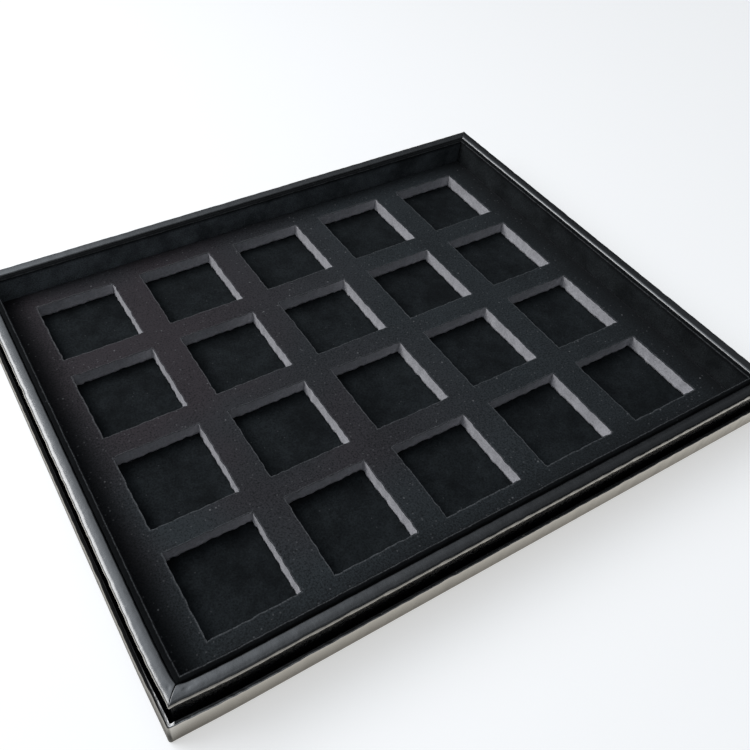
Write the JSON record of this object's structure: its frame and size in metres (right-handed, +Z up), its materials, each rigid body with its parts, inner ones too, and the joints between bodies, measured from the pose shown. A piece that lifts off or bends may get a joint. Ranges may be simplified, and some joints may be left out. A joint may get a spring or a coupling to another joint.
{
  "type": "gemstone storage box",
  "caption": "Low rectangular black leatherette box with a raised neck, velvet liners and a foam sheet with square pockets for gem boxes.",
  "frame": {"origin": "middle of the underside of the tray, on the table", "axes": "+X along the long side, to the right seen from the front; +Y from the front to the back; +Z up"},
  "size_m": [0.2498, 0.1924, 0.0221],
  "materials": {
    "tray_leatherette": "glossy smooth black leatherette",
    "neck_leatherette": "semi-gloss fine-grained black leatherette",
    "liner_velvet": "matt black velvet",
    "pad_velvet": "matt black velvet",
    "flocked_foam": "black flocked foam with bare grey cut walls"
  },
  "bodies": {
    "root": {"base_tray": "tray_leatherette", "neck_front": "neck_leatherette", "neck_right": "neck_leatherette", "neck_back": "neck_leatherette", "neck_left": "neck_leatherette", "liner_front": "liner_velvet", "liner_right": "liner_velvet", "liner_back": "liner_velvet", "liner_left": "liner_velvet", "floor_pad": "pad_velvet", "pocket_foam": "flocked_foam"}
  },
  "joints": []
}
